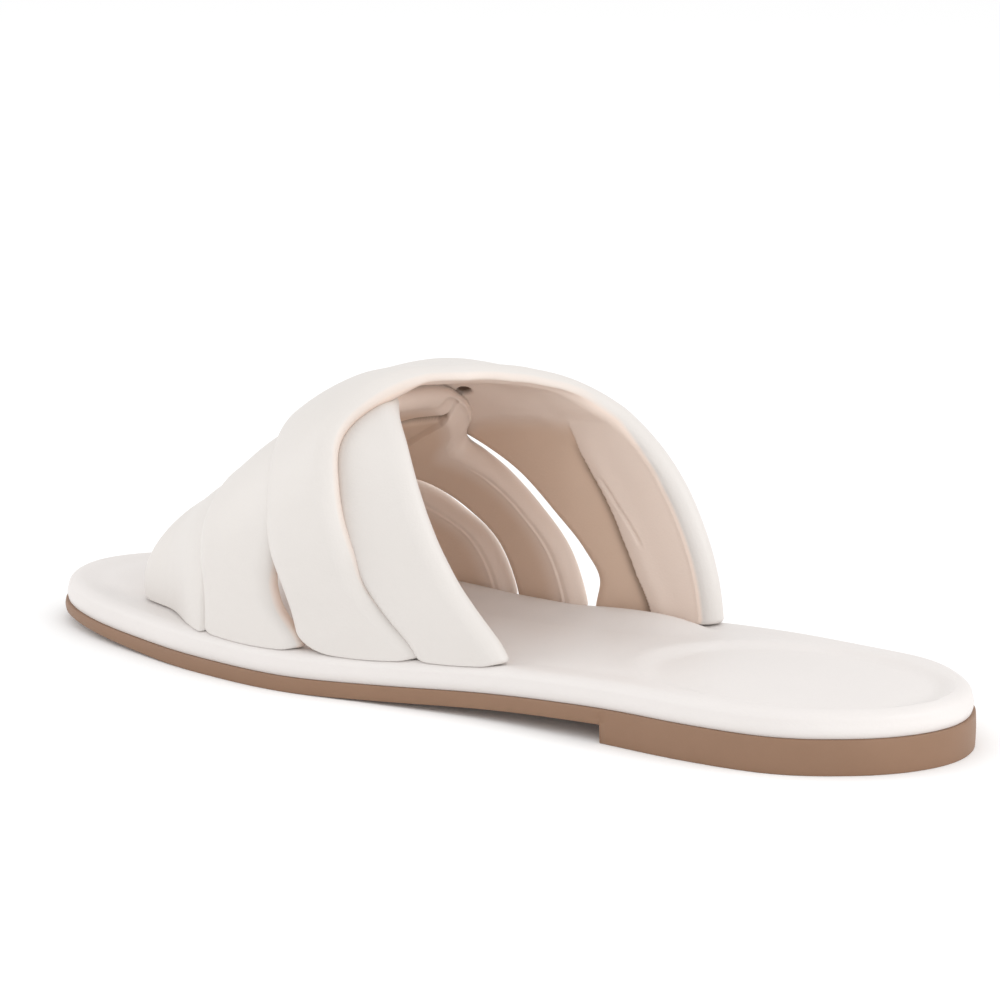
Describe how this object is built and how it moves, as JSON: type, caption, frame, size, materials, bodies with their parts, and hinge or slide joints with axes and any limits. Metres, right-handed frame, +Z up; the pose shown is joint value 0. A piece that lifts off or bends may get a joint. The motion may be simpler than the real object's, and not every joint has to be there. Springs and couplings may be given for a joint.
{
  "type": "slide sandal",
  "caption": "Padded slip-on slide sandal: wide crossed straps over the instep, open toe and heel, wrapped footbed with an oval heel hollow, thin outsole with a low stepped heel.",
  "frame": {"origin": "on the floor, under the middle of the sole's length and width", "axes": "+Z up, the toe points along -Y and the heel along +Y, the outer side of the foot is +X"},
  "size_m": [0.0846, 0.25, 0.0715],
  "materials": {
    "outsole": "tan moulded outsole, satin",
    "footbed": "ivory smooth cover wrapped round a padded board",
    "upper": "ivory smooth cover over foam, satin"
  },
  "bodies": {
    "root": {"outsole": "outsole", "footbed": "footbed", "upper": "upper"}
  },
  "joints": []
}
